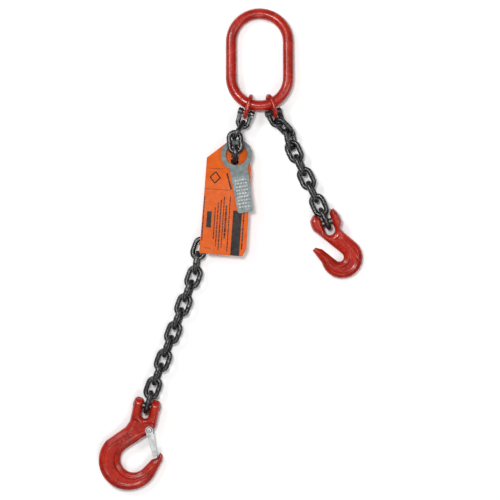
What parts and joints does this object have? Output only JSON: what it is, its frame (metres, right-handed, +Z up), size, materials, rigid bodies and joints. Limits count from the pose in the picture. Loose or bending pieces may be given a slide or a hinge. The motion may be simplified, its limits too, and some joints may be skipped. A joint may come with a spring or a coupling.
{
  "type": "chain sling",
  "caption": "Adjustable chain sling: oblong master link, a long leg with a latched sling hook, a short leg with a grab hook for shortening, and two tags on the chain.",
  "frame": {"origin": "inner crown of the master link, where the crane hook bears", "axes": "-Y runs from the master link towards the hooks, +Z is up from the floor the sling lies on"},
  "size_m": [0.5382, 0.9825, 0.0523],
  "materials": {
    "red_paint": "gloss",
    "black_steel": "satin",
    "spring_steel": "satin",
    "pin_steel": "satin",
    "zinc_plate": "satin",
    "cast_tag": "matte",
    "card": "satin"
  },
  "bodies": {
    "master_link": {"master_link": "red_paint"},
    "left_eye": {"left_eye": "red_paint"},
    "left_fork": {"left_fork": "black_steel", "left_load_pin": "pin_steel", "left_retaining_pin": "spring_steel"},
    "left_link_01": {"left_link_01": "black_steel"},
    "left_link_02": {"left_link_02": "black_steel"},
    "left_link_03": {"left_link_03": "black_steel"},
    "left_link_04": {"left_link_04": "black_steel"},
    "left_link_05": {"left_link_05": "black_steel"},
    "left_link_06": {"left_link_06": "black_steel"},
    "left_link_07": {"left_link_07": "black_steel"},
    "left_link_08": {"left_link_08": "black_steel"},
    "left_link_09": {"left_link_09": "black_steel"},
    "left_link_10": {"left_link_10": "black_steel"},
    "left_link_11": {"left_link_11": "black_steel"},
    "left_link_12": {"left_link_12": "black_steel"},
    "left_link_13": {"left_link_13": "black_steel"},
    "left_link_14": {"left_link_14": "black_steel"},
    "left_link_15": {"left_link_15": "black_steel"},
    "left_link_16": {"left_link_16": "black_steel"},
    "left_link_17": {"left_link_17": "black_steel"},
    "left_link_18": {"left_link_18": "black_steel"},
    "left_link_19": {"left_link_19": "black_steel"},
    "left_link_20": {"left_link_20": "black_steel"},
    "left_link_21": {"left_link_21": "black_steel"},
    "right_eye": {"right_eye": "red_paint"},
    "right_fork": {"right_fork": "black_steel", "right_load_pin": "pin_steel", "right_retaining_pin": "spring_steel"},
    "right_link_01": {"right_link_01": "black_steel"},
    "right_link_02": {"right_link_02": "black_steel"},
    "right_link_03": {"right_link_03": "black_steel"},
    "right_link_04": {"right_link_04": "black_steel"},
    "right_link_05": {"right_link_05": "black_steel"},
    "right_link_06": {"right_link_06": "black_steel"},
    "right_link_07": {"right_link_07": "black_steel"},
    "right_link_08": {"right_link_08": "black_steel"},
    "sling_hook": {"sling_hook": "red_paint", "sling_hook_pin": "pin_steel", "sling_hook_retainer": "spring_steel", "latch_rivet": "zinc_plate"},
    "latch": {"latch": "zinc_plate", "latch_spring": "spring_steel"},
    "grab_hook": {"grab_hook": "red_paint", "grab_hook_pin": "pin_steel", "grab_hook_retainer": "spring_steel"},
    "warning_tag": {"warning_tag": "card"},
    "id_tag": {"id_tag": "cast_tag"}
  },
  "joints": [
    {"name": "left_eye_swing", "type": "hinge", "parent": "master_link", "child": "left_eye", "pos_m": [-0.0221, -0.17334, 0.00987], "axis": [0.9246, -0.3804, 0.0217], "range_deg": [-15, 15]},
    {"name": "left_fork_swing", "type": "hinge", "parent": "left_eye", "child": "left_fork", "pos_m": [-0.02768, -0.19161, 0.00987], "axis": [-0.9563, 0.2924, 0], "range_deg": [-15, 15]},
    {"name": "left_chain_01", "type": "hinge", "parent": "left_fork", "child": "left_link_01", "pos_m": [-0.03415, -0.21275, 0.00588], "axis": [0.2832, 0.4905, 0.8241], "range_deg": [-12, 12]},
    {"name": "left_chain_02", "type": "hinge", "parent": "left_link_01", "child": "left_link_02", "pos_m": [-0.05075, -0.24151, 0.02871], "axis": [-0.2832, -0.4905, -0.8241], "range_deg": [-5, 9]},
    {"name": "left_chain_03", "type": "hinge", "parent": "left_link_02", "child": "left_link_03", "pos_m": [-0.04899, -0.26669, 0.03332], "axis": [-0.0564, -0.807, 0.5878], "range_deg": [-5, 12]},
    {"name": "left_chain_04", "type": "hinge", "parent": "left_link_03", "child": "left_link_04", "pos_m": [-0.05065, -0.29031, 0.00071], "axis": [0.0564, 0.807, -0.5878], "range_deg": [-12, 0]},
    {"name": "left_chain_05", "type": "hinge", "parent": "left_link_04", "child": "left_link_05", "pos_m": [-0.05566, -0.31352, 0.00542], "axis": [0, 0, 1], "range_deg": [-8, 20]},
    {"name": "left_chain_06", "type": "hinge", "parent": "left_link_05", "child": "left_link_06", "pos_m": [-0.07773, -0.34725, 0.00542], "axis": [0, 0, -1], "range_deg": [-20, 20]},
    {"name": "left_chain_07", "type": "hinge", "parent": "left_link_06", "child": "left_link_07", "pos_m": [-0.08453, -0.36573, 0.00542], "axis": [0, 0, 1], "range_deg": [-20, 20]},
    {"name": "left_chain_08", "type": "hinge", "parent": "left_link_07", "child": "left_link_08", "pos_m": [-0.09028, -0.40562, 0.00542], "axis": [0, 0, -1], "range_deg": [-20, 20]},
    {"name": "left_chain_09", "type": "hinge", "parent": "left_link_08", "child": "left_link_09", "pos_m": [-0.09708, -0.42411, 0.00542], "axis": [0, 0, 1], "range_deg": [-20, 20]},
    {"name": "left_chain_10", "type": "hinge", "parent": "left_link_09", "child": "left_link_10", "pos_m": [-0.11856, -0.45821, 0.00542], "axis": [0, 0, -1], "range_deg": [-20, 20]},
    {"name": "left_chain_11", "type": "hinge", "parent": "left_link_10", "child": "left_link_11", "pos_m": [-0.12538, -0.4767, 0.00576], "axis": [-0.1548, 0.0223, 0.9877], "range_deg": [-20, 20]},
    {"name": "left_chain_12", "type": "hinge", "parent": "left_link_11", "child": "left_link_12", "pos_m": [-0.13113, -0.51658, 0.00576], "axis": [0.1548, -0.0223, -0.9877], "range_deg": [-20, 20]},
    {"name": "left_chain_13", "type": "hinge", "parent": "left_link_12", "child": "left_link_13", "pos_m": [-0.13801, -0.53505, 0.00609], "axis": [-0.2744, 0.101, 0.9563], "range_deg": [-20, 20]},
    {"name": "left_chain_14", "type": "hinge", "parent": "left_link_13", "child": "left_link_14", "pos_m": [-0.15193, -0.57287, 0.00609], "axis": [0.2744, -0.101, -0.9563], "range_deg": [-20, 20]},
    {"name": "left_chain_15", "type": "hinge", "parent": "left_link_14", "child": "left_link_15", "pos_m": [-0.15873, -0.59136, 0.00609], "axis": [-0.2744, 0.101, 0.9563], "range_deg": [-20, 20]},
    {"name": "left_chain_16", "type": "hinge", "parent": "left_link_15", "child": "left_link_16", "pos_m": [-0.17265, -0.62918, 0.00609], "axis": [0.2744, -0.101, -0.9563], "range_deg": [-20, 20]},
    {"name": "left_chain_17", "type": "hinge", "parent": "left_link_16", "child": "left_link_17", "pos_m": [-0.17945, -0.64767, 0.00609], "axis": [-0.2744, 0.101, 0.9563], "range_deg": [-20, 20]},
    {"name": "left_chain_18", "type": "hinge", "parent": "left_link_17", "child": "left_link_18", "pos_m": [-0.19337, -0.68549, 0.00609], "axis": [0.2744, -0.101, -0.9563], "range_deg": [-20, 20]},
    {"name": "left_chain_19", "type": "hinge", "parent": "left_link_18", "child": "left_link_19", "pos_m": [-0.20017, -0.70398, 0.00609], "axis": [-0.2111, 0.0777, 0.9744], "range_deg": [-20, 20]},
    {"name": "left_chain_20", "type": "hinge", "parent": "left_link_19", "child": "left_link_20", "pos_m": [-0.21408, -0.7418, 0.00609], "axis": [0.2111, -0.0777, -0.9744], "range_deg": [-20, 20]},
    {"name": "left_chain_21", "type": "hinge", "parent": "left_link_20", "child": "left_link_21", "pos_m": [-0.22088, -0.76029, 0.00609], "axis": [0, 0, 1], "range_deg": [-20, 20]},
    {"name": "right_eye_swing", "type": "hinge", "parent": "master_link", "child": "right_eye", "pos_m": [0.0221, -0.17334, 0.00987], "axis": [0.9246, 0.3804, -0.0217], "range_deg": [-15, 15]},
    {"name": "right_fork_swing", "type": "hinge", "parent": "right_eye", "child": "right_fork", "pos_m": [0.02768, -0.19161, 0.00987], "axis": [-0.9279, -0.2837, 0.2419], "range_deg": [-15, 4]},
    {"name": "right_chain_01", "type": "hinge", "parent": "right_fork", "child": "right_link_01", "pos_m": [0.03485, -0.20737, 0.0189], "axis": [0.5165, 0.2537, 0.8178], "range_deg": [-10, 10]},
    {"name": "right_chain_02", "type": "hinge", "parent": "right_link_01", "child": "right_link_02", "pos_m": [0.05828, -0.22421, 0.00933], "axis": [0.5894, 0.1885, -0.7856], "range_deg": [-10, 10]},
    {"name": "right_chain_03", "type": "hinge", "parent": "right_link_02", "child": "right_link_03", "pos_m": [0.06183, -0.25222, 0.00527], "axis": [0.8544, 0.3912, 0.342], "range_deg": [-10, 4]},
    {"name": "right_chain_04", "type": "hinge", "parent": "right_link_03", "child": "right_link_04", "pos_m": [0.07432, -0.2795, 0.00527], "axis": [0.296, 0.1355, -0.9455], "range_deg": [-10, 10]},
    {"name": "right_chain_05", "type": "hinge", "parent": "right_link_04", "child": "right_link_05", "pos_m": [0.09109, -0.31614, 0.00527], "axis": [-0.296, -0.1355, 0.9455], "range_deg": [-20, 20]},
    {"name": "right_chain_06", "type": "hinge", "parent": "right_link_05", "child": "right_link_06", "pos_m": [0.09929, -0.33405, 0.00527], "axis": [0.22, 0.1007, -0.9703], "range_deg": [-20, 20]},
    {"name": "right_chain_07", "type": "hinge", "parent": "right_link_06", "child": "right_link_07", "pos_m": [0.11607, -0.37069, 0.00527], "axis": [-0.22, -0.1007, 0.9703], "range_deg": [-20, 20]},
    {"name": "right_chain_08", "type": "hinge", "parent": "right_link_07", "child": "right_link_08", "pos_m": [0.12427, -0.38861, 0.00527], "axis": [0.0634, 0.029, -0.9976], "range_deg": [-20, 2]},
    {"name": "sling_hook_swing", "type": "hinge", "parent": "left_link_21", "child": "sling_hook", "pos_m": [-0.22973, -0.78769, 0.00609], "axis": [0.9781, -0.2079, 0], "range_deg": [-25, 25]},
    {"name": "latch_hinge", "type": "hinge", "parent": "sling_hook", "child": "latch", "pos_m": [-0.22424, -0.83545, 0.00444], "axis": [0.0075, 0.0352, -0.9994], "range_deg": [0, 40], "stiffness_Nm_per_rad": 0.15, "springref_deg": -34.38},
    {"name": "grab_hook_swing", "type": "hinge", "parent": "right_link_08", "child": "grab_hook", "pos_m": [0.1371, -0.4144, 0.00533], "axis": [0.9397, 0.342, 0], "range_deg": [-20, 20]},
    {"name": "warning_tag_lift", "type": "hinge", "parent": "left_link_03", "child": "warning_tag", "pos_m": [-0.04982, -0.2785, 0.01701], "axis": [-0.9877, -0.1564, 0], "range_deg": [0, 25]},
    {"name": "id_tag_turn", "type": "hinge", "parent": "warning_tag", "child": "id_tag", "pos_m": [-0.04982, -0.2785, 0.01701], "axis": [0, 0, 1], "range_deg": [-5, 5]}
  ]
}
